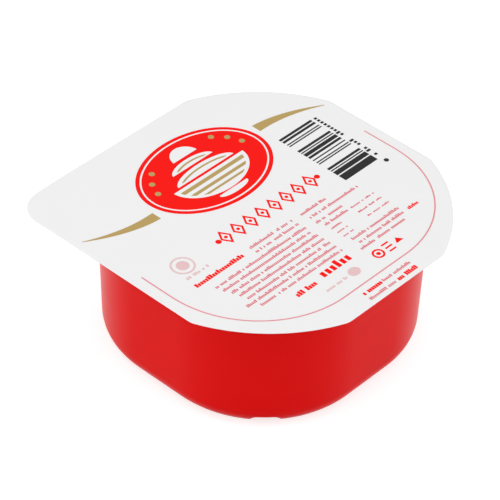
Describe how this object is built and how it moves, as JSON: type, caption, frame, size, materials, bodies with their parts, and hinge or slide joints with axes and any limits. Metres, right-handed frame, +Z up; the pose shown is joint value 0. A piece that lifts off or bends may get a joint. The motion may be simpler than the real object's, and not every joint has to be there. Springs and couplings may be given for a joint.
{
  "type": "yogurt pot",
  "caption": "Sealed square yogurt pot with wide round corners, a foot ring, a flange and a printed peel lid with one pointed corner.",
  "frame": {"origin": "middle of the base, on the surface that the pot stands on", "axes": "+Z up through the lid; -Y is the side the lid is read from; the pointed peel corner is at -X, +Y"},
  "size_m": [0.088, 0.088, 0.038],
  "materials": {
    "pot_polystyrene": "gloss",
    "lid_laminate": "satin",
    "ink_red": "satin",
    "ink_gold": "satin",
    "ink_black": "satin"
  },
  "bodies": {
    "root": {"tub": "pot_polystyrene", "lid": "lid_laminate"}
  },
  "joints": []
}
